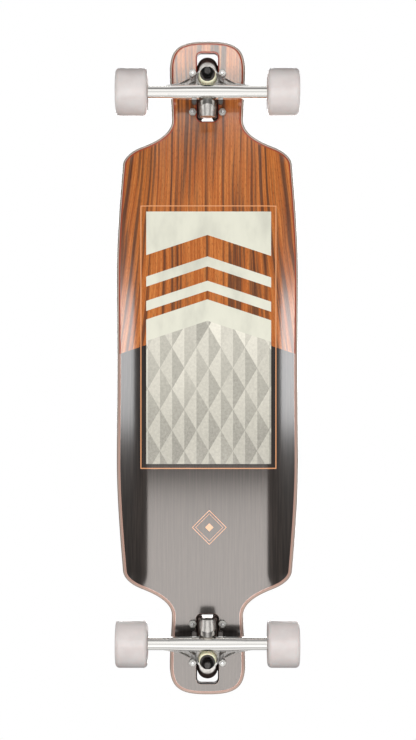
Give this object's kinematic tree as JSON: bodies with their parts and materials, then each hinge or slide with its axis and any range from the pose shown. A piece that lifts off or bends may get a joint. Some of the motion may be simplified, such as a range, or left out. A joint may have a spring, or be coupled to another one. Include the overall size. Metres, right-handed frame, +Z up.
{
  "type": "longboard",
  "caption": "Drop-through longboard with a cut-away wooden deck, steering reverse-kingpin trucks and soft urethane wheels.",
  "frame": {"origin": "on the floor under the middle of the deck, with all wheels on the floor", "axes": "+X to the nose, +Y to the left of a board rolling nose first, +Z up"},
  "size_m": [0.914, 0.2556, 0.1059],
  "materials": {
    "maple": "lacquered plies",
    "grip": "coarse grit",
    "cast_aluminium": "cast, tumbled",
    "polished_aluminium": "polished",
    "cup_urethane": "satin",
    "bushing_urethane": "satin",
    "wheel_urethane": "translucent satin",
    "dark_steel": "plain",
    "bright_steel": "zinc plated",
    "black_steel": "black oxide"
  },
  "bodies": {
    "deck": {"deck": "maple", "grip_tape": "grip", "front_baseplate": "cast_aluminium", "front_pivot_cup": "cup_urethane", "front_kingpin": "dark_steel", "front_boardside_washer": "bright_steel", "front_boardside_bushing": "bushing_urethane", "front_roadside_bushing": "bushing_urethane", "front_roadside_washer": "black_steel", "front_kingpin_nut": "black_steel", "front_bolt_1": "bright_steel", "front_bolt_2": "bright_steel", "front_bolt_3": "bright_steel", "front_bolt_4": "bright_steel", "rear_baseplate": "cast_aluminium", "rear_pivot_cup": "cup_urethane", "rear_kingpin": "dark_steel", "rear_boardside_washer": "bright_steel", "rear_boardside_bushing": "bushing_urethane", "rear_roadside_bushing": "bushing_urethane", "rear_roadside_washer": "black_steel", "rear_kingpin_nut": "black_steel", "rear_bolt_1": "bright_steel", "rear_bolt_2": "bright_steel", "rear_bolt_3": "bright_steel", "rear_bolt_4": "bright_steel"},
    "front_hanger": {"front_hanger": "polished_aluminium", "front_axle": "dark_steel", "front_left_inner_speed_ring": "bright_steel", "front_left_spacer": "bright_steel", "front_left_outer_speed_ring": "bright_steel", "front_left_axle_nut": "dark_steel", "front_right_inner_speed_ring": "bright_steel", "front_right_spacer": "bright_steel", "front_right_outer_speed_ring": "bright_steel", "front_right_axle_nut": "dark_steel"},
    "front_left_wheel": {"front_left_wheel": "wheel_urethane", "front_left_inner_bearing": "bright_steel", "front_left_outer_bearing": "bright_steel"},
    "front_right_wheel": {"front_right_wheel": "wheel_urethane", "front_right_inner_bearing": "bright_steel", "front_right_outer_bearing": "bright_steel"},
    "rear_hanger": {"rear_hanger": "polished_aluminium", "rear_axle": "dark_steel", "rear_left_inner_speed_ring": "bright_steel", "rear_left_spacer": "bright_steel", "rear_left_outer_speed_ring": "bright_steel", "rear_left_axle_nut": "dark_steel", "rear_right_inner_speed_ring": "bright_steel", "rear_right_spacer": "bright_steel", "rear_right_outer_speed_ring": "bright_steel", "rear_right_axle_nut": "dark_steel"},
    "rear_left_wheel": {"rear_left_wheel": "wheel_urethane", "rear_left_inner_bearing": "bright_steel", "rear_left_outer_bearing": "bright_steel"},
    "rear_right_wheel": {"rear_right_wheel": "wheel_urethane", "rear_right_inner_bearing": "bright_steel", "rear_right_outer_bearing": "bright_steel"}
  },
  "joints": [
    {"name": "front_steering", "type": "hinge", "parent": "deck", "child": "front_hanger", "pos_m": [0.358, 0, 0.03149], "axis": [0.8554, 0, 0.518], "range_deg": [-15, 15], "stiffness_Nm_per_rad": 40, "deforming": ["front_boardside_bushing", "front_roadside_bushing"]},
    {"name": "front_left_wheel_spin", "type": "hinge", "parent": "front_hanger", "child": "front_left_wheel", "pos_m": [0.3765, 0.1035, 0.0325], "axis": [0, 1, 0], "continuous": true},
    {"name": "front_right_wheel_spin", "type": "hinge", "parent": "front_hanger", "child": "front_right_wheel", "pos_m": [0.3765, -0.1035, 0.0325], "axis": [0, 1, 0], "continuous": true},
    {"name": "rear_steering", "type": "hinge", "parent": "deck", "child": "rear_hanger", "pos_m": [-0.358, 0, 0.03149], "axis": [-0.8554, 0, 0.518], "range_deg": [-15, 15], "stiffness_Nm_per_rad": 40, "deforming": ["rear_boardside_bushing", "rear_roadside_bushing"]},
    {"name": "rear_left_wheel_spin", "type": "hinge", "parent": "rear_hanger", "child": "rear_left_wheel", "pos_m": [-0.3765, 0.1035, 0.0325], "axis": [0, 1, 0], "continuous": true},
    {"name": "rear_right_wheel_spin", "type": "hinge", "parent": "rear_hanger", "child": "rear_right_wheel", "pos_m": [-0.3765, -0.1035, 0.0325], "axis": [0, 1, 0], "continuous": true}
  ]
}
